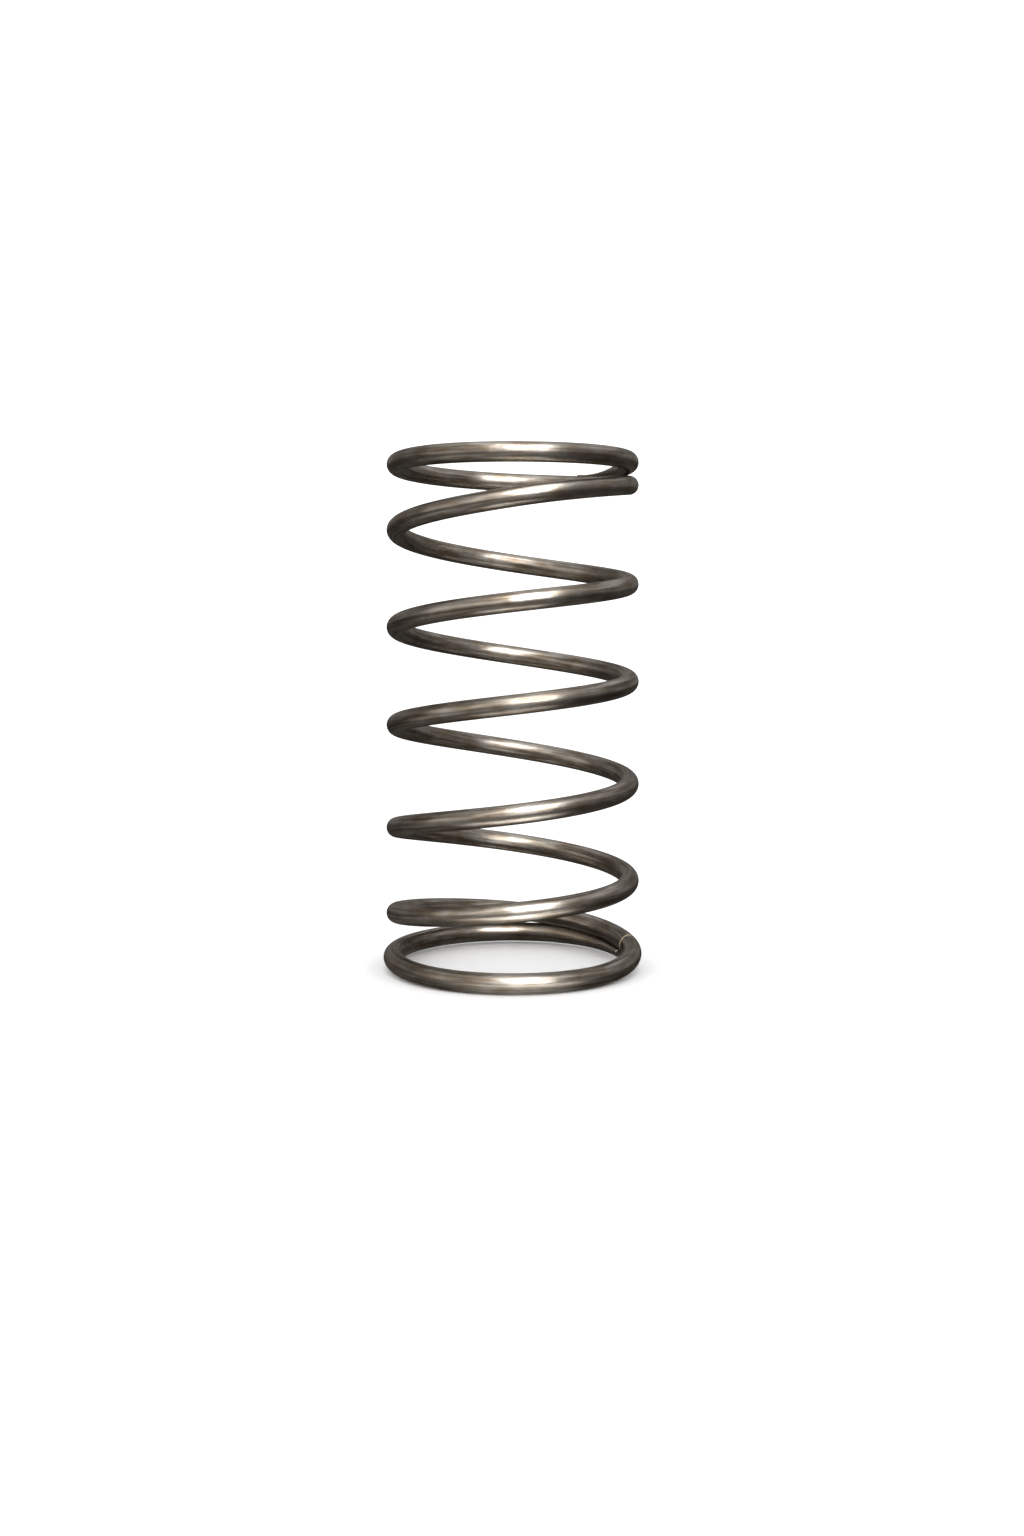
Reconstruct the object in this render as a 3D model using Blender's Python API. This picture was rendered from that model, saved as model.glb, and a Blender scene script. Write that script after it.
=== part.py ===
"""Helical compression spring of round steel wire, closed at both ends.

One wire, wound right-handed in seven turns about +Z. It is modelled as named
lengths of wire that meet end to end:
  bottom_end_coil   turn 0 to 1, flat on the floor, its tip drawn down thin
  coil_2 .. coil_6  the five active turns, each as four quarter-turn lengths
  top_end_coil      turn 6 to just past 7, closing to flat, its tip drawn thin

Metres, +Z up. The origin is on the coil's axis, on the floor. Turn 0 starts at
+X, and the wire climbs as it goes round from +X to +Y.
"""

import math

import bpy
from mathutils import Matrix, Vector

MM = 0.001

# Wire and winding
WIRE_DIAMETER = 3.0 * MM
MEAN_RADIUS = 18.0 * MM
BOTTOM_FLARE = 0.45 * MM  # the bottom coil is this much wider in radius
FLARE_FROM, FLARE_TURNS = 0.9, 0.6
TIP_START, TOP_TIP_END = 0.05, 7.1  # turns at the two cut ends

# The pitch along the wire: (turn, rise per turn), straight lines between
PITCH_LINE = (
    (0.85, 0.0),
    (1.08, 14.2 * MM),
    (1.5, 10.3 * MM),
    (2.0, 12.8 * MM),
    (2.5, 15.6 * MM),
    (3.5, 16.0 * MM),
    (4.5, 14.2 * MM),
    (5.0, 16.6 * MM),
    (5.5, 12.6 * MM),
    (5.75, 20.5 * MM),
    (6.0, 7.4 * MM),
    (6.25, 5.4 * MM),
    (6.5, 5.7 * MM),
    (6.7, 0.0),
    (6.82, 0.0),
    (7.0, -1.5 * MM),
    (7.03, 6.0 * MM),
    (7.2, 7.0 * MM),
)

# The active coils lean a little towards -Y, as they left the winder
LEAN = 0.84 * MM
LEAN_PHASE = math.radians(26)
LEAN_IN = (1.0, 2.0)
LEAN_OUT = (5.4, 6.3)

# The bottom tip is thinned to lie under the wire that rises over it, and the
# top tip is drawn down to lie on the wire below it
TIP_CLEARANCE = 0.5 * MM
TOP_TAPER_FROM, TOP_TAPER_TURNS = 6.97, 0.13
TOP_TIP_RADIUS = 0.3 * MM

# Gaps between neighbouring lengths, along the wire
END_GAP = 0.7 * MM
MIDDLE_GAP = 1.1 * MM

# How the spring shortens
TRAVEL = 44.0 * MM
FIRST_DROP = 0.3 * MM  # the first length is held up by the tip under it
SOLID_RISE = 0.8 * MM  # a quarter turn's rise when its coil is closed

# Facets
WIRE_SIDES_RESOLUTION = 4
WIRE_SIDES = 12
STEP_TURNS = 1 / 36

FIRST_ACTIVE, LAST_ACTIVE = 1.0, 6.0
QUARTERS = 20
SIDES = ("rear_right", "rear_left", "front_left", "front_right")

WIRE_RADIUS = WIRE_DIAMETER / 2
COLLECTION = "compression_spring"


def clear_scene():
    for obj in list(bpy.data.objects):
        bpy.data.objects.remove(obj, do_unlink=True)


def smooth(x):
    x = min(1.0, max(0.0, x))
    return x * x * (3 - 2 * x)


def climb(turn):
    """The height wound up to a turn: the area under the pitch line."""
    total = 0.0
    for (t0, p0), (t1, p1) in zip(PITCH_LINE, PITCH_LINE[1:]):
        if turn <= t0:
            break
        end = min(turn, t1)
        pitch_there = p0 + (p1 - p0) * (end - t0) / (t1 - t0)
        total += (p0 + pitch_there) / 2 * (end - t0)
    return total


def lean(turn):
    """The height that the lean adds or takes, zero in the end coils."""
    grow = smooth((turn - LEAN_IN[0]) / (LEAN_IN[1] - LEAN_IN[0]))
    fade = 1 - smooth((turn - LEAN_OUT[0]) / (LEAN_OUT[1] - LEAN_OUT[0]))
    return -LEAN * grow * fade * math.sin(2 * math.pi * turn + LEAN_PHASE)


def height(turn):
    """The wire's centre above the bottom coil's centre, at full thickness."""
    return climb(turn) + lean(turn)


def wire_radius(turn):
    """Half the wire's thickness: full, but thinned at the two tips."""
    if turn < 0.5:
        room = (height(turn + 1) - TIP_CLEARANCE) / 2
        return min(WIRE_RADIUS, room)
    taper = smooth((turn - TOP_TAPER_FROM) / TOP_TAPER_TURNS)
    return WIRE_RADIUS - (WIRE_RADIUS - TOP_TIP_RADIUS) * taper


def centre(turn):
    """The wire's centre at a turn. A thinned tip keeps its lowest line and
    stays on the inner side of the coil."""
    thinned = WIRE_RADIUS - wire_radius(turn)
    flare = BOTTOM_FLARE * (1 - smooth((turn - FLARE_FROM) / FLARE_TURNS))
    radius = MEAN_RADIUS + flare - thinned
    angle = 2 * math.pi * turn
    return Vector(
        (
            radius * math.cos(angle),
            radius * math.sin(angle),
            WIRE_RADIUS + height(turn) - thinned,
        )
    )


def junction(index):
    """The turn where active length number index begins, counted from 0."""
    share = index / QUARTERS
    return FIRST_ACTIVE + (LAST_ACTIVE - FIRST_ACTIVE) * share


def drops():
    """How much each active length shortens the spring at full travel. Each
    gives up the same share of its own free rise, but the first is held."""
    free = []
    for i in range(QUARTERS):
        rise = height(junction(i + 1)) - height(junction(i))
        free.append(rise - SOLID_RISE)
    share = (TRAVEL - FIRST_DROP) / sum(free[1:])
    return [FIRST_DROP] + [share * f for f in free[1:]]


def tilt_axes():
    """For each active length: (azimuth, its middle, how far along its own
    tangent the line lies that it tilts about). The length drops and flattens
    together, and the two make one turn about that line. The lower ten are
    placed against the bottom coil, and the upper ten against the top coil."""
    reach = MEAN_RADIUS * math.sin(math.pi / 4)
    fallen = 0.0
    axes = []
    for i, drop in enumerate(drops()):
        tilt = drop / (2 * reach)
        middle = (junction(i) + junction(i + 1)) / 2
        mid_drop = fallen + drop / 2
        if i < QUARTERS // 2:
            along = -mid_drop / tilt
            half_way = -mid_drop / 2
        else:
            along = (TRAVEL - mid_drop) / tilt
            half_way = (TRAVEL - mid_drop) / 2
        axes.append((2 * math.pi * middle, middle, along, half_way, tilt))
        fallen += drop
    return axes


def steel(name):
    material = bpy.data.materials.new(name + "_steel")
    material.use_nodes = True
    shader = material.node_tree.nodes["Principled BSDF"]
    shader.inputs["Base Color"].default_value = (0.23, 0.20, 0.17, 1)
    shader.inputs["Metallic"].default_value = 1.0
    shader.inputs["Roughness"].default_value = 0.28
    return material


def add_empty(name, location, azimuth, parent, collection):
    """An empty on an axis of motion. Its X points along that axis."""
    empty = bpy.data.objects.new(name, None)
    collection.objects.link(empty)
    empty.empty_display_size = 4 * MM
    empty.parent = parent
    empty.location = location
    empty.rotation_euler = (0, 0, azimuth)
    return empty


def add_wire(name, start, end, azimuth, origin, parent, collection):
    """One length of wire from turn start to turn end, as a faceted tube with a
    flat facet below and above. It is drawn in a frame at origin, turned by
    azimuth, so that its X points out from the coil's axis."""
    steps = max(2, round((end - start) / STEP_TURNS))
    turns = [start + (end - start) * i / steps for i in range(steps + 1)]
    into_frame = Matrix.Rotation(-azimuth, 3, "Z")

    curve = bpy.data.curves.new(name, "CURVE")
    curve.dimensions = "3D"
    curve.twist_mode = "Z_UP"
    curve.bevel_depth = WIRE_RADIUS / math.cos(math.pi / WIRE_SIDES)
    curve.bevel_resolution = WIRE_SIDES_RESOLUTION
    curve.use_fill_caps = True
    curve.render_resolution_u = 0

    spline = curve.splines.new("POLY")
    spline.points.add(len(turns) - 1)
    for point, turn in zip(spline.points, turns):
        local = into_frame @ (centre(turn) - origin)
        point.co = (*local, 1)
        point.radius = wire_radius(turn) / WIRE_RADIUS
        point.tilt = math.pi / WIRE_SIDES
    curve.materials.append(steel(name))

    wire = bpy.data.objects.new(name, curve)
    collection.objects.link(wire)
    wire.parent = parent
    bpy.context.view_layer.update()
    turned = Matrix.Rotation(azimuth, 4, "Z")
    wire.matrix_world = Matrix.Translation(origin) @ turned
    return wire


def build():
    clear_scene()
    collection = bpy.data.collections.new(COLLECTION)
    bpy.context.scene.collection.children.link(collection)

    half_gap = END_GAP / 2 / (2 * math.pi * MEAN_RADIUS)
    half_middle_gap = MIDDLE_GAP / 2 / (2 * math.pi * MEAN_RADIUS)

    floor = Vector((0, 0, 0))
    add_wire(
        "bottom_end_coil", TIP_START, FIRST_ACTIVE - half_gap,
        0.0, floor, None, collection,
    )
    slide = add_empty("compression_axis", floor, 0.0, None, collection)
    add_wire(
        "top_end_coil", LAST_ACTIVE + half_gap, TOP_TIP_END,
        0.0, floor, slide, collection,
    )

    for i, (azimuth, middle, along, half_way, _) in enumerate(tilt_axes()):
        name = f"coil_{2 + i // 4}_{SIDES[i % 4]}"
        centre_point = centre(middle)
        tangent = Vector((-math.sin(azimuth), math.cos(azimuth), 0))
        pivot = centre_point + along * tangent + Vector((0, 0, half_way))
        upper = i >= QUARTERS // 2
        tilt = add_empty(
            name + "_tilt_axis", pivot, azimuth,
            slide if upper else None, collection,
        )
        before = half_middle_gap if i == QUARTERS // 2 else half_gap
        after = half_middle_gap if i == QUARTERS // 2 - 1 else half_gap
        add_wire(
            name, junction(i) + before, junction(i + 1) - after,
            azimuth, centre_point, tilt, collection,
        )


build()
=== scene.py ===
# %% [markdown]
# # A compression spring of drawn steel wire
#
# The object is one round steel wire, coiled right-handed in seven turns about
# an upright axis. Its first and last turns lie flat, so that the spring stands
# on a table and takes a load squarely. The five turns between them are the
# ones that give.
#
# A CAD model of the spring is loaded first and fixes where everything is. It
# names the wire in 22 lengths, each on a body of its own, so that the coil can
# close up. This script draws the same wire finely, gives it a drawn steel
# finish, and hangs each fine length on the body of its CAD length.

import math

import bmesh
import bpy
from mathutils import Matrix, Vector


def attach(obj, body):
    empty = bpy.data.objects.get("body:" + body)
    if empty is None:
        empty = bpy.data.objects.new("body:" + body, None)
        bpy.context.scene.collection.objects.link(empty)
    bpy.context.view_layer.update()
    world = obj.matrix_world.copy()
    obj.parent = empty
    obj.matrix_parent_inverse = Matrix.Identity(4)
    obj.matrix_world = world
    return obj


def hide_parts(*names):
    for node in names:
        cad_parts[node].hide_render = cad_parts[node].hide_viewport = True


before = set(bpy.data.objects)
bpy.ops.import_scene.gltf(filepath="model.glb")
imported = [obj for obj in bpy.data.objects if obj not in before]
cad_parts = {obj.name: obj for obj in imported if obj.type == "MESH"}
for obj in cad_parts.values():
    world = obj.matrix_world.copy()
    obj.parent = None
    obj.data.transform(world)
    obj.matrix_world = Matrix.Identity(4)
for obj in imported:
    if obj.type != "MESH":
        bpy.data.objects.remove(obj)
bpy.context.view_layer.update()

# %% [markdown]
# ## The wire's path
#
# A spring winder feeds wire against coiling pins, and a wedge pushes the coil
# apart as it grows. So the path has a constant radius and a pitch that changes
# with the turn: none in the end coils, about 15 mm in the middle. Here the
# pitch is a line through a few points, and the height is the area under it.
# The same numbers made the CAD model, so the fine wire falls on it. It differs
# by a few tenths of a millimetre in two ways. Its tips close up on the next
# turn, where the CAD leaves a gap. And its bottom coil isn't quite flat, as a
# coil that was never ground seldom is. Places along the wire are told in turns:
# turn 0 points right, and the wire climbs as it goes round behind.

# %% Measures of the wire and the coil
MM = 0.001
WIRE_RADIUS = 1.5 * MM
MEAN_RADIUS = 18.0 * MM
FIRST_TIP, LAST_TIP = 0.05, 7.14  # turns at the wire's two ends
# (turn, rise per turn), with straight lines between the points
PITCH_LINE = (
    (0.85, 0.0),
    (1.08, 14.2 * MM),
    (1.5, 10.3 * MM),
    (2.0, 12.8 * MM),
    (2.5, 15.6 * MM),
    (3.5, 16.0 * MM),
    (4.5, 14.2 * MM),
    (5.0, 16.6 * MM),
    (5.5, 12.6 * MM),
    (5.75, 20.5 * MM),
    (6.0, 7.4 * MM),
    (6.25, 5.4 * MM),
    (6.5, 5.7 * MM),
    (6.7, 0.0),
    (6.82, 0.0),
    (6.96, -1.2 * MM),
    (6.98, -7.0 * MM),
    (7.02, -7.0 * MM),
    (7.04, 6.0 * MM),
    (7.2, 6.5 * MM),
)
print("turns of wire:", round(LAST_TIP - FIRST_TIP, 2))

# %% [markdown]
# A real winding is never perfect. The bottom coil came out a little wider than
# the rest, and the active coils lean to one side. Each such thing is a small
# measure with the turn where it starts and the turns that it takes to come or
# go, so that it blends into the coil without a kink.

# %% How the winding strays
BOTTOM_FLARE = 0.45 * MM
FLARE_FROM, FLARE_TURNS = 0.9, 0.6
LEAN = 0.84 * MM
LEAN_PHASE = math.radians(26)
LEAN_IN_FROM, LEAN_IN_TURNS = 1.0, 1.0
LEAN_OUT_FROM, LEAN_OUT_TURNS = 5.4, 0.9
RING_LIFT = 0.32 * MM
RING_LIFT_FROM, RING_LIFT_TURNS = 1.0, 0.35  # where the lift fades out


def smooth(x):
    """From 0 to 1 as x goes from 0 to 1, with no kink at either end."""
    x = min(1.0, max(0.0, x))
    return x * x * (3 - 2 * x)


def height(turn):
    """How far the wire's centre has climbed at a turn: the area under the pitch
    line, and the lean."""
    climbed = 0.0
    for (t0, p0), (t1, p1) in zip(PITCH_LINE, PITCH_LINE[1:]):
        if turn > t0:
            end = min(turn, t1)
            pitch = p0 + (p1 - p0) * (end - t0) / (t1 - t0)
            climbed += (p0 + pitch) / 2 * (end - t0)
    grow = smooth((turn - LEAN_IN_FROM) / LEAN_IN_TURNS)
    fade = 1 - smooth((turn - LEAN_OUT_FROM) / LEAN_OUT_TURNS)
    side = math.sin(2 * math.pi * turn + LEAN_PHASE)
    return climbed - LEAN * grow * fade * side


def ring_lift(turn):
    """The bottom coil rests on the table in front and stands off it behind."""
    behind = smooth(1 + math.sin(2 * math.pi * turn))
    fade = 1 - smooth((turn - RING_LIFT_FROM) / RING_LIFT_TURNS)
    return RING_LIFT * behind * fade


print("climb of the active coils:", round((height(6) - height(1)) / MM, 1), "mm")

# %% [markdown]
# The tips are drawn down thin. The first slips under the wire that rises over
# it, so it takes half of the room there, and a hair more: it is pressed on, so
# that no light shows between. The last lies down on the wire below it. A thin
# tip keeps its lowest line and hugs the inner side of the coil.

# %% The wire's thickness and middle
TIP_REACH = 0.5  # turns: past here nothing lies close over the first tip
TIP_PRESS = 0.02 * MM
TOP_TIP_RADIUS = 0.15 * MM
TOP_TAPER_FROM, TOP_TAPER_TURNS = 6.99, 0.14


def wire_radius(turn):
    """Half the thickness: full, but drawn down thin at the two tips."""
    if turn < TIP_REACH:
        above = height(turn + 1) + ring_lift(turn + 1) - ring_lift(turn)
        return min(WIRE_RADIUS, (above + TIP_PRESS) / 2)
    taper = smooth((turn - TOP_TAPER_FROM) / TOP_TAPER_TURNS)
    return WIRE_RADIUS - (WIRE_RADIUS - TOP_TIP_RADIUS) * taper


def centre(turn):
    """The middle of the wire at a turn."""
    thinned = WIRE_RADIUS - wire_radius(turn)
    flare = BOTTOM_FLARE * (1 - smooth((turn - FLARE_FROM) / FLARE_TURNS))
    radius = MEAN_RADIUS + flare - thinned
    angle = 2 * math.pi * turn
    z = WIRE_RADIUS + height(turn) + ring_lift(turn) - thinned
    return Vector((radius * math.cos(angle), radius * math.sin(angle), z))


top_of_wire = max(centre(6 + i / 100).z for i in range(100)) + WIRE_RADIUS
print("free height:", round(top_of_wire / MM, 2), "mm")

# %% [markdown]
# ## One cross-section
#
# A tube along a curve needs to know how each of its rings stands. A ring here
# is square to the wire, and one of its directions always points away from the
# coil's axis. That way the rings of two lengths that meet are the same ring,
# and the wire shows no seam.

# %% How a ring stands
NEAR = 0.0005  # turns: far enough apart for a clean direction


def section(turn):
    """The matrix that takes a unit circle in XY to the wire's ring at a turn.
    X turns to the wire's upper side, Y outwards, and Z along the wire."""
    along = (centre(turn + NEAR) - centre(turn - NEAR)).normalized()
    out = Vector((math.cos(2 * math.pi * turn), math.sin(2 * math.pi * turn), 0))
    out = (out - out.dot(along) * along).normalized()
    up = out.cross(along)
    turned = Matrix((up, out, along)).transposed().to_4x4()
    size = Matrix.Diagonal((wire_radius(turn), wire_radius(turn), MM, 1))
    return Matrix.Translation(centre(turn)) @ turned @ size


steepest = max(section(1 + i / 20).col[2].normalized().z for i in range(100))
print("steepest climb:", round(math.degrees(math.asin(steepest)), 1), "degrees")

# %% [markdown]
# ## A length of wire
#
# The circle is extruded ring by ring, and each new ring is carried on by the
# step from one section to the next. A curve with a round bevel would be
# shorter to write, but a mesh can also carry a note on every vertex. The note
# is where the vertex would be if the wire were pulled straight: how far along
# it, and where in its round section. Drawing lines and stains follow the
# wire, so the steel's patterns are laid out in that straight wire.

# %% Sweep the circle
RINGS_PER_TURN = 480
WIRE_SIDES = 48
STRAIGHT = "straight_wire"
TURN_LENGTH = 2 * math.pi * MEAN_RADIUS
print("facets of", round(TURN_LENGTH / RINGS_PER_TURN / MM, 2), "mm along the wire")
print("and", round(2 * math.pi * WIRE_RADIUS / WIRE_SIDES / MM, 2), "mm round it")


def sweep(bm, edges, matrices):
    """Extrude a ring's edges, and carry each new ring on by one matrix."""
    for matrix in matrices:
        grown = bmesh.ops.extrude_edge_only(bm, edges=edges)["geom"]
        ring = [g for g in grown if isinstance(g, bmesh.types.BMVert)]
        edges = [
            g for g in grown if isinstance(g, bmesh.types.BMEdge) and g.is_boundary
        ]
        bmesh.ops.transform(bm, matrix=matrix, verts=ring)
        yield ring, edges


def wire_length(bm, first, last):
    """A tube from one turn to another. Returns its first and last edges."""
    steps = round((last - first) * RINGS_PER_TURN)
    turns = [first + (last - first) * i / steps for i in range(steps + 1)]
    note = bm.verts.layers.float_vector.new(STRAIGHT)
    start = bmesh.ops.create_circle(bm, radius=1, segments=WIRE_SIDES)["verts"]
    for v in start:
        v[note] = (first * TURN_LENGTH, v.co.x * WIRE_RADIUS, v.co.y * WIRE_RADIUS)
    bmesh.ops.transform(bm, matrix=section(first), verts=start)
    first_edges = last_edges = bm.edges[:]
    moves = [
        section(b) @ section(a).inverted() for a, b in zip(turns, turns[1:])
    ]
    for turn, (ring, edges) in zip(turns[1:], sweep(bm, first_edges, moves)):
        last_edges = edges
        for v in ring:
            v[note].x = turn * TURN_LENGTH
    return first_edges, last_edges


# %% [markdown]
# ## Ends of a length
#
# Inside the coil there are no ends, only the places where two lengths meet.
# There each tube goes on for a short, slightly thinner tongue inside its
# neighbour, so that no gap opens between them while the coil closes up. The
# wire's own two ends were sheared off. A shear rolls the edge over a little and
# leaves a face that is nearly flat, so a real end gets a small rounded edge and
# then a face that dips a few hundredths of a millimetre in the middle.

# %% Close an end
TONGUE = 0.7 * MM
TONGUE_SIZE = 0.97  # of the wire's thickness
EDGE_ROLL = 0.12 * MM
ROLL_LIMIT = 0.25  # of the radius, for a tip that is very thin
ROLL_STEPS = 3
FACE_DIP = 0.05 * MM
FACE_RINGS = (0.7, 0.35)  # of the face's radius
print("tongue thinner by", round(WIRE_RADIUS * (1 - TONGUE_SIZE) / MM, 3), "mm")


def close_inside(bm, edges, turn, forward):
    """Step in a little, go on along the wire, and close the tube."""
    thinner = Matrix.Diagonal((TONGUE_SIZE, TONGUE_SIZE, 1, 1))
    root = section(turn) @ thinner
    tip = section(turn + forward * TONGUE / TURN_LENGTH) @ thinner
    moves = (root @ section(turn).inverted(), tip @ root.inverted())
    for _, last_edges in sweep(bm, edges, moves):
        pass
    bmesh.ops.contextual_create(bm, geom=last_edges)


def close_sheared(bm, edges, turn, forward):
    """Roll the edge inwards, then step to the middle of the cut face."""
    radius = wire_radius(turn)
    roll = min(EDGE_ROLL, radius * ROLL_LIMIT)
    rings = []  # (size of the ring, how far out it stands)
    for step in range(1, ROLL_STEPS + 1):
        angle = step / ROLL_STEPS * math.pi / 2
        size = 1 - roll / radius * (1 - math.cos(angle))
        rings.append((size, roll * math.sin(angle)))
    for part in FACE_RINGS:
        rings.append((size * part, roll - FACE_DIP * (1 - part * part)))
    cut = section(turn)
    moves, before = [], cut
    for size, rise in rings:
        shift = Matrix.Translation((0, 0, forward * rise / MM))
        after = cut @ shift @ Matrix.Diagonal((size, size, 1, 1))
        moves.append(after @ before.inverted())
        before = after
    for _, last_edges in sweep(bm, edges, moves):
        pass
    face = bmesh.ops.contextual_create(bm, geom=last_edges)["faces"]
    bmesh.ops.poke(bm, faces=face)


# %% [markdown]
# ## Nicks
#
# Loose springs knock against each other in the bin, and steel shows it. A nick
# is a shallow dent, a fraction of a millimetre wide and often slanted. Each is
# placed by its turn and by its angle round the wire, where 0 is the upper side
# and 90 the outer one.

# %% Press the nicks in
# (turn, angle, (length, width, depth) in mm, slant). Angles are in degrees
NICKS = (
    (6.727, 78, (0.75, 0.24, 0.05), 35),
    (6.735, 66, (0.45, 0.22, 0.03), 35),
    (5.925, 95, (0.5, 0.25, 0.04), -50),
    (4.88, 62, (0.45, 0.25, 0.04), 60),
    (4.35, 250, (0.5, 0.25, 0.04), 10),
    (3.12, 120, (0.5, 0.25, 0.04), 20),
    (2.61, 100, (0.6, 0.25, 0.03), -30),
    (0.835, 52, (0.4, 0.22, 0.04), 50),
    (0.842, 62, (0.4, 0.22, 0.04), 50),
    (0.85, 50, (0.35, 0.22, 0.03), 40),
    (0.857, 60, (0.4, 0.22, 0.04), 55),
)
NICK_REACH = 3  # lengths from its middle, where a nick has run out
print("nicks:", len(NICKS))


def press_nicks(bm, first, last):
    """Push the wire's surface inwards where a nick is."""
    note = bm.verts.layers.float_vector[STRAIGHT]
    for turn, angle, sizes, slant in NICKS:
        if not first < turn < last:
            continue
        length, width, depth = (size * MM for size in sizes)
        turned = Matrix.Rotation(math.radians(slant), 2)
        for v in bm.verts:
            along = v[note].x - turn * TURN_LENGTH
            if abs(along) > NICK_REACH * length:
                continue
            away = math.degrees(math.atan2(v[note].z, v[note].y)) - angle
            around = math.radians((away + 180) % 360 - 180) * WIRE_RADIUS
            a, b = turned @ Vector((along, around))
            inwards = centre(v[note].x / TURN_LENGTH) - v.co
            press = depth * math.exp(-((a / length) ** 2) - (b / width) ** 2)
            v.co += inwards.normalized() * press


# %% [markdown]
# ## Nodes with one small helper
#
# Every material below is a short list of nodes. The helper adds one node,
# sets what it is told to, and joins its inputs. Colours are written as they
# look on a screen and turned to linear light.

# %% Helpers for materials
def linear(hex_colour):
    """A screen colour such as "bcb4aa" as linear red, green, blue and 1."""
    parts = [int(hex_colour[i : i + 2], 16) / 255 for i in (0, 2, 4)]
    light = [
        p / 12.92 if p <= 0.04045 else ((p + 0.055) / 1.055) ** 2.4 for p in parts
    ]
    return (*light, 1.0)


def add_node(tree, kind, settings=(), **inputs):
    """Add a node. settings are its properties. Inputs are given by name, with _
    for a space, or as in0, in1 by place where they share a name. Each is a
    value or the output that feeds it."""
    node = tree.nodes.new(kind)
    for key, value in dict(settings).items():
        setattr(node, key, value)
    for key, value in inputs.items():
        by_place = key[:2] == "in" and key[2:].isdigit()
        socket = node.inputs[int(key[2:]) if by_place else key.replace("_", " ")]
        if isinstance(value, bpy.types.NodeSocket):
            tree.links.new(value, socket)
        else:
            socket.default_value = value
    return node


print("mid grey 808080 is", round(linear("808080")[0], 3), "in linear light")

# %% [markdown]
# ## Drawn spring steel
#
# Spring wire is pulled through a die, which leaves fine lines along it. Then
# it is coiled and baked, and the bake leaves a thin warm film. To the eye it
# is a grey metal with a brown cast: bright where it mirrors a lamp, and dark
# everywhere else. The highlight's edges aren't clean, because the surface
# waves a little and the lines scatter light round the wire.
#
# A noise that is stretched along the wire gives both lines and film. It is read
# on the straight wire that every vertex carries, so it follows the coil and
# runs on unbroken from one length to the next. A real drawing line is only a
# few hundredths of a millimetre wide. It is drawn as wide as it needs to be to
# show: 0.3 to 0.5 mm, and 8 to 12 mm long.

# %% A noise that follows the wire
def noise_on_wire(tree, run_mm, round_mm, detail, seed=0.0):
    """A noise that is run_mm long and round_mm wide on the straight wire."""
    run = add_node(tree, "ShaderNodeAttribute", {"attribute_name": STRAIGHT})
    scaled = add_node(
        tree,
        "ShaderNodeMapping",
        Vector=run.outputs["Vector"],
        Location=(seed, seed, seed),
        Scale=(1 / (run_mm * MM), 1 / (round_mm * MM), 1 / (round_mm * MM)),
    )
    noise = add_node(
        tree,
        "ShaderNodeTexNoise",
        Vector=scaled.outputs["Vector"],
        Scale=1.0,
        Detail=detail,
    )
    return noise.outputs["Fac"]


print("drawing lines are read from the attribute", STRAIGHT)

# %% [markdown]
# A painted glint crosses the wire where it leaves the bottom coil: a thin
# pale-gold line that is not metal, so the white room lights it bright, and it
# stands in for warm light caught there. It could be a thread of geometry, but it
# has no thickness to speak of, so it is a change of finish: a narrow band across
# the straight wire, slanted a little, and kept to the inner and upper side.

# %% The painted glint
MARK_TURN = 1.028
MARK_WIDTH = 0.36 * MM
MARK_SLANT = -0.35  # along the wire, for each step outwards
MARK_OUTER = (1.2 * MM, 0.6 * MM)  # outwards: it starts here, and is full here
MARK_LOWER = (-0.6 * MM, 0.0)  # upwards: the same


def painted_glint_line(tree):
    """1 on the painted glint, and 0 elsewhere."""
    place = add_node(tree, "ShaderNodeAttribute", {"attribute_name": STRAIGHT})
    wire = add_node(tree, "ShaderNodeSeparateXYZ", Vector=place.outputs["Vector"])
    slanted = add_node(
        tree,
        "ShaderNodeMath",
        {"operation": "MULTIPLY_ADD"},
        in0=wire.outputs["Z"],
        in1=MARK_SLANT,
        in2=wire.outputs["X"],
    )
    band = add_node(
        tree,
        "ShaderNodeMath",
        {"operation": "COMPARE"},
        in0=slanted.outputs["Value"],
        in1=MARK_TURN * TURN_LENGTH,
        in2=MARK_WIDTH / 2,
    ).outputs["Value"]
    for side, (starts, full) in (("Z", MARK_OUTER), ("Y", MARK_LOWER)):
        kept = add_node(
            tree,
            "ShaderNodeMapRange",
            Value=wire.outputs[side],
            From_Min=starts,
            From_Max=full,
        )
        band = add_node(
            tree,
            "ShaderNodeMath",
            {"operation": "MULTIPLY"},
            in0=band,
            in1=kept.outputs["Result"],
        ).outputs["Value"]
    return band


# The painted glint's width and the turn where it lies.
print("painted glint", round(MARK_WIDTH / MM, 2), "mm wide at turn", MARK_TURN)

# %% [markdown]
# The steel's colour has three layers: the bare wire, the warm film in patches
# 3.5 mm long and 1.3 mm wide, and darker streaks. A noise stays mostly between
# 0.3 and 0.7, so the limits between bare and film, and between clean and
# streaked, lie in there.

# %% The steel's colour
BARE_STEEL = "c8c4be"
BAKED_FILM = "a89b8b"
DARK_STREAK = "8e837a"
# The pale gold of the painted glint, which stands in for warm light caught on the
# wire.
PAINTED_GLINT_GOLD = "d2bd96"
STREAK_STRENGTH = 0.75


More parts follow.
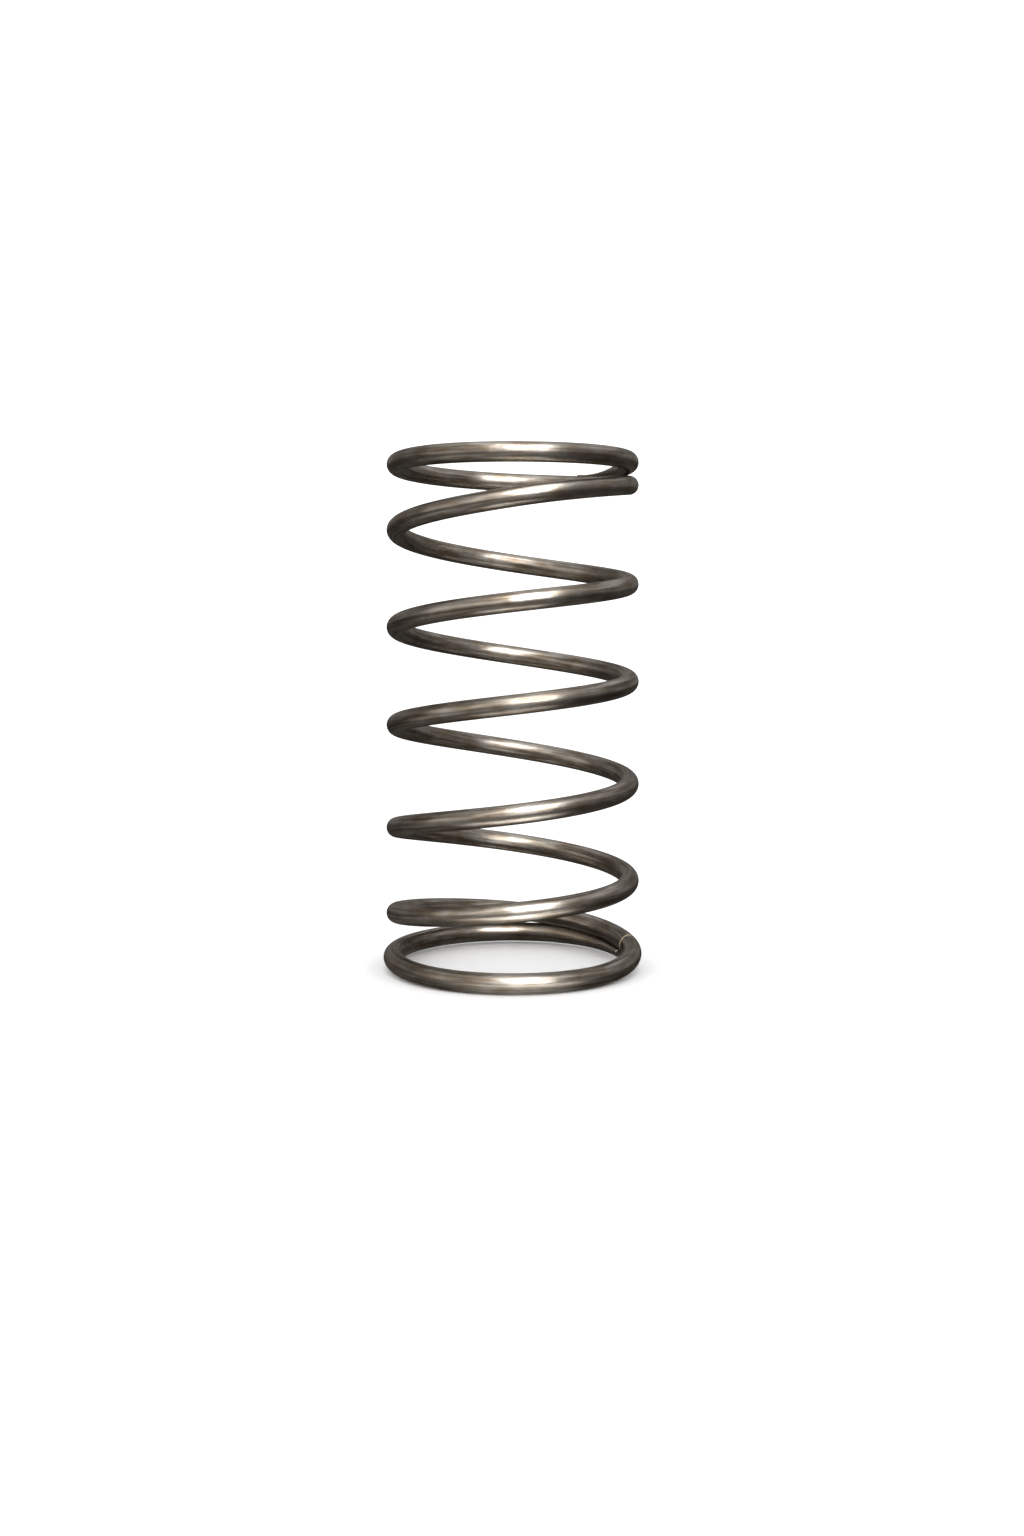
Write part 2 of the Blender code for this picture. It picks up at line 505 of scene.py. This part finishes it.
def colour_of_steel(tree, streaks, glint_mask):
    """Bare steel under film, then streaks, then the painted glint."""
    film = add_node(
        tree,
        "ShaderNodeMapRange",
        Value=noise_on_wire(tree, 3.5, 1.3, detail=4.0, seed=3.0),
        From_Min=0.38,
        From_Max=0.66,
    )
    filmed = add_node(
        tree,
        "ShaderNodeMix",
        {"data_type": "RGBA"},
        Factor=film.outputs["Result"],
        A=linear(BARE_STEEL),
        B=linear(BAKED_FILM),
    )
    streak = add_node(
        tree,
        "ShaderNodeMapRange",
        Value=streaks,
        From_Min=0.42,
        From_Max=0.66,
        To_Max=STREAK_STRENGTH,
    )
    streaked = add_node(
        tree,
        "ShaderNodeMix",
        {"data_type": "RGBA", "blend_type": "MULTIPLY"},
        Factor=streak.outputs["Result"],
        A=filmed.outputs["Result"],
        B=linear(DARK_STREAK),
    )
    # The painted glint, laid over the steel's own colours.
    glint_painted = add_node(
        tree,
        "ShaderNodeMix",
        {"data_type": "RGBA"},
        Factor=glint_mask,
        A=streaked.outputs["Result"],
        B=linear(PAINTED_GLINT_GOLD),
    )
    return glint_painted.outputs["Result"]


print("colours of the steel:", BARE_STEEL, BAKED_FILM, DARK_STREAK)

# %% [markdown]
# Its surface isn't quite even either. The coiling pins leave waves about 2 mm
# long, and the die leaves its lines. Both are far too shallow to change the
# outline, so they are bump, one on top of the other.

# %% The steel's surface
LINE_DEPTH = 0.012 * MM
WAVE_DEPTH = 0.04 * MM


def surface_of_steel(tree):
    """Gentle waves, and the drawing lines on them."""
    waved = add_node(
        tree,
        "ShaderNodeBump",
        Strength=1.0,
        Distance=WAVE_DEPTH,
        Height=noise_on_wire(tree, 2.2, 1.0, detail=2.0, seed=11.0),
    )
    lined = add_node(
        tree,
        "ShaderNodeBump",
        Strength=1.0,
        Distance=LINE_DEPTH,
        Height=noise_on_wire(tree, 8.0, 0.32, detail=2.0),
        Normal=waved.outputs["Normal"],
    )
    return lined.outputs["Normal"]


print("waves", WAVE_DEPTH / MM, "mm deep, lines", LINE_DEPTH / MM, "mm deep")

# %% [markdown]
# Drawn steel is a metal, and keeps the default IOR. It is fairly smooth, with a
# roughness near 0.3. The lines make it a little brushed, so its highlights
# spread across them, round the wire: that is anisotropy. It has to know which
# way the wire runs, and the cross product of the coil's axis and the place
# gives that way. A quarter turn of rotation lays the spread across it.

# %% The steel
def make_drawn_steel():
    """Drawn spring steel, with film, streaks, lines and the painted glint."""
    steel = bpy.data.materials.new("drawn_spring_steel")
    steel.use_nodes = True
    tree = steel.node_tree
    shader = tree.nodes["Principled BSDF"]
    streaks = noise_on_wire(tree, 12.0, 0.5, detail=3.0, seed=7.0)
    # Where the painted glint lies.
    glint_mask = painted_glint_line(tree)

    # Not metal on the painted glint, so the white room lights it bright.
    metal = add_node(
        tree, "ShaderNodeMapRange", Value=glint_mask, To_Min=1.0, To_Max=0.0
    )
    rough = add_node(
        tree,
        "ShaderNodeMapRange",
        Value=streaks,
        From_Min=0.3,
        From_Max=0.7,
        To_Min=0.26,
        To_Max=0.36,
    )
    place = add_node(tree, "ShaderNodeTexCoord").outputs["Object"]
    along = add_node(
        tree,
        "ShaderNodeVectorMath",
        {"operation": "CROSS_PRODUCT"},
        in0=(0.0, 0.0, 1.0),
        in1=place,
    )
    shader.inputs["Anisotropic"].default_value = 0.4
    shader.inputs["Anisotropic Rotation"].default_value = 0.25
    for name, output in (
        ("Base Color", colour_of_steel(tree, streaks, glint_mask)),
        ("Metallic", metal.outputs["Result"]),
        ("Roughness", rough.outputs["Result"]),
        ("Tangent", along.outputs["Vector"]),
        ("Normal", surface_of_steel(tree)),
    ):
        tree.links.new(output, shader.inputs[name])
    print(steel.name, "has", len(tree.nodes), "nodes")
    return steel


drawn_steel = make_drawn_steel()

# %% [markdown]
# ## The 22 lengths
#
# The CAD nodes say which lengths there are: the two closed end coils, and the
# five active coils in quarters. Each fine length covers the same stretch of
# wire as its CAD node but runs right up to its neighbours, so that at rest the
# coil is one unbroken wire.

# %% Where each length starts and ends
SIDES = ("rear_right", "rear_left", "front_left", "front_right")
FIRST_ACTIVE, LAST_ACTIVE = 1.0, 6.0
QUARTERS = 20
STRETCHES = {
    "bottom_end_coil": (FIRST_TIP, FIRST_ACTIVE),
    "top_end_coil": (LAST_ACTIVE, LAST_TIP),
}
for quarter in range(QUARTERS):
    start = FIRST_ACTIVE + quarter / 4
    node_name = f"coil_{2 + quarter // 4}_{SIDES[quarter % 4]}"
    STRETCHES[node_name] = (start, start + 1 / 4)
print("lengths of wire:", len(STRETCHES))

# %% [markdown]
# Every length is made the same way: sweep the tube, press the nicks in, and
# close its two ends. Then it rides on the body of its CAD node and stands for
# that node. Shading is smooth, except where the wire was cut: an edge that
# turns by more than 50 degrees stays sharp.

# %% Build the lengths and hang them on their bodies
SHARP_EDGE = math.radians(50)


def make_piece(name, first, last):
    """One length of wire, as a finished object at the origin."""
    bm = bmesh.new()
    first_edges, last_edges = wire_length(bm, first, last)
    press_nicks(bm, first, last)
    for edges, turn, forward in ((first_edges, first, -1), (last_edges, last, 1)):
        if turn in (FIRST_TIP, LAST_TIP):
            close_sheared(bm, edges, turn, forward)
        else:
            close_inside(bm, edges, turn, forward)
    bmesh.ops.recalc_face_normals(bm, faces=bm.faces)
    mesh = bpy.data.meshes.new(name)
    bm.to_mesh(mesh)
    bm.free()
    mesh.shade_smooth()
    mesh.set_sharp_from_angle(angle=SHARP_EDGE)
    mesh.materials.append(drawn_steel)
    piece = bpy.data.objects.new(name, mesh)
    bpy.context.scene.collection.objects.link(piece)
    return piece


for body, (first, last) in STRETCHES.items():
    piece = make_piece(body + "_wire", first, last)
    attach(piece, body)
    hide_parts(body)
    print(piece.name, "has", len(piece.data.polygons), "faces")

# %% [markdown]
# ## Floor
#
# The spring stands on a plain white table in an even white light. Bare metal
# has hardly a colour of its own: it shows the room. A white table would turn
# the whole wire white, where the real one is dark below with a bright patch in
# front. So the wire gets a table of its own to mirror: a dim one with three
# pools of light, of which the brightest lies just in front. A pool is a round
# gradient, stretched to its reach, that fades out towards its edge.

# %% The table that the metal mirrors
DIM_TABLE = "45423f"
POOL_COLOUR = "fffbf3"
# (middle, reach across, reach to the front and back) in mm, and strength
POOLS = (
    ((6, -32, 0), 40, 17, 5.0),
    ((20, -190, 0), 200, 165, 0.6),
    ((-110, -60, 0), 150, 150, 0.5),
)


def pools_on_table(tree):
    """The dim table's light, with the pools added to it."""
    place = add_node(tree, "ShaderNodeTexCoord").outputs["Object"]
    light = linear(DIM_TABLE)
    for middle, across, deep, strength in POOLS:
        around = add_node(
            tree,
            "ShaderNodeMapping",
            {"vector_type": "TEXTURE"},
            Vector=place,
            Location=[part * MM for part in middle],
            Scale=(across * MM, deep * MM, across * MM),
        )
        pool = add_node(
            tree,
            "ShaderNodeTexGradient",
            {"gradient_type": "QUADRATIC_SPHERE"},
            Vector=around.outputs["Vector"],
        )
        lit = add_node(
            tree,
            "ShaderNodeMix",
            {"data_type": "RGBA", "blend_type": "ADD"},
            Factor=pool.outputs["Fac"],
            A=light,
            B=[strength * part for part in linear(POOL_COLOUR)[:3]] + [1.0],
        )
        light = lit.outputs["Result"]
    return light


print("pools of light:", len(POOLS))

# %% [markdown]
# What the eye sees is matt white paper. Cycles can tell the two apart, since
# light that meets metal travels as glossy rays.

# %% The floor
WHITE_PAPER = "f8f8f8"
FLOOR_REACH = 40.0  # metres: its edge never shows


def make_paper():
    """Matt white paper, but to glossy rays a dim table with pools of light."""
    paper = bpy.data.materials.new("white_paper")
    paper.use_nodes = True
    tree = paper.node_tree
    white = tree.nodes["Principled BSDF"]
    white.inputs["Base Color"].default_value = linear(WHITE_PAPER)
    white.inputs["Roughness"].default_value = 1.0
    white.inputs["Specular IOR Level"].default_value = 0.0

    mirrored = add_node(tree, "ShaderNodeEmission", Color=pools_on_table(tree))
    rays = add_node(tree, "ShaderNodeLightPath")
    both = add_node(
        tree,
        "ShaderNodeMixShader",
        in0=rays.outputs["Is Glossy Ray"],
        in1=white.outputs["BSDF"],
        in2=mirrored.outputs["Emission"],
    )
    surface = tree.nodes["Material Output"].inputs["Surface"]
    tree.links.new(both.outputs["Shader"], surface)
    return paper


def make_floor():
    """One flat square, which isn't part of the object."""
    bm = bmesh.new()
    bmesh.ops.create_grid(bm, x_segments=1, y_segments=1, size=FLOOR_REACH)
    mesh = bpy.data.meshes.new("floor")
    bm.to_mesh(mesh)
    bm.free()
    mesh.materials.append(make_paper())
    floor = bpy.data.objects.new("floor", mesh)
    bpy.context.scene.collection.objects.link(floor)


make_floor()
print("floor reaches", FLOOR_REACH, "m to each side")

# %% [markdown]
# ## Lamps
#
# A softbox in a studio is a big lamp behind white cloth. Round metal mirrors it
# as a narrow bright stripe with soft ends, and where the stripe starts and stops
# shows where the lamp stands: here in front, high, a little to the right. The
# others are weak, and only keep the sides from going black. An area lamp does
# all this. Its strength is told as radiance, so that a lamp can change size and
# still look as bright.

# %% Lamps
LAMP_DISTANCE = 0.8  # metres
SPRING_MIDDLE = Vector((0, 0, 40 * MM))


def add_softbox(name, azimuth, elevation, size, radiance, colour="ffffff"):
    """A soft rectangular lamp that faces the spring's middle. Azimuth 0 is in
    front of the spring, and it grows towards the right. The table's white is
    set by the room alone, so the lamps light only the metal."""
    lamp = bpy.data.lights.new(name, "AREA")
    lamp.shape = "RECTANGLE"
    lamp.size, lamp.size_y = size
    lamp.energy = radiance * math.pi * size[0] * size[1]
    lamp.color = linear(colour)[:3]
    box = bpy.data.objects.new(name, lamp)
    a, e = math.radians(azimuth), math.radians(elevation)
    level = math.cos(e)
    way = Vector((math.sin(a) * level, -math.cos(a) * level, math.sin(e)))
    box.location = SPRING_MIDDLE + way * LAMP_DISTANCE
    box.rotation_euler = way.to_track_quat("Z", "Y").to_euler()
    box.visible_diffuse = False
    bpy.context.scene.collection.objects.link(box)
    print(name, "shines with", round(lamp.energy, 2), "W")


add_softbox("key_softbox", 15, 41, (0.54, 0.95), 5.5)
add_softbox("key_spill", -24, 38, (0.42, 0.8), 0.85, "fff4e4")
add_softbox("left_softbox", -62, 20, (0.7, 0.75), 0.45, "fff8f0")
add_softbox("overhead_softbox", 130, 76, (1.5, 1.5), 0.3)
add_softbox("top_strip", 14, 98, (0.5, 0.5), 0.5)

# %% [markdown]
# ## Room
#
# The room is a plain white light from all sides, which gives the table its even
# white and the spring its soft shadow. To glossy rays it is a dim and brownish
# room, for the same reason as the table. The Standard view keeps white white.

# %% Room
ROOM_LIGHT = 1.43
DIM_ROOM = "77736f"


def make_room():
    """White light from all sides, but a dim room to glossy rays."""
    world = bpy.data.worlds.new("studio")
    world.use_nodes = True
    tree = world.node_tree
    rays = add_node(tree, "ShaderNodeLightPath")
    seen = add_node(
        tree,
        "ShaderNodeMix",
        {"data_type": "RGBA"},
        Factor=rays.outputs["Is Glossy Ray"],
        A=(ROOM_LIGHT, ROOM_LIGHT, ROOM_LIGHT, 1.0),
        B=linear(DIM_ROOM),
    )
    background = tree.nodes["Background"]
    tree.links.new(seen.outputs["Result"], background.inputs["Color"])
    bpy.context.scene.world = world


make_room()
bpy.context.scene.view_settings.view_transform = "Standard"
print("room light", ROOM_LIGHT, "and to metal", DIM_ROOM)

# %% [markdown]
# ## Camera
#
# The camera stands level, so that uprights stay upright, and a little above the
# spring's middle, so that the coils show as flat loops. Its frame is shifted
# down, as a view camera's back would be, which puts the spring where it belongs
# without a tilt.

# %% Camera
CAMERA_DISTANCE = 260.5 * MM
CAMERA_HEIGHT = 56.6 * MM
LENS, SENSOR = 39.39, 36.0  # millimetres, as Blender has them
SHIFT_ACROSS, SHIFT_UP = -0.0004, -0.1085  # of the frame's longer side
camera = bpy.data.objects.new("camera", bpy.data.cameras.new("camera"))
camera.data.lens = LENS
camera.data.sensor_width = SENSOR
camera.data.shift_x = SHIFT_ACROSS
camera.data.shift_y = SHIFT_UP
camera.data.clip_start = 0.01
camera.location = (0, -CAMERA_DISTANCE, CAMERA_HEIGHT)
camera.rotation_euler = (math.radians(90), 0, 0)
bpy.context.scene.collection.objects.link(camera)
bpy.context.scene.camera = camera
print("camera", round(CAMERA_DISTANCE / MM), "mm in front of the coil's axis")
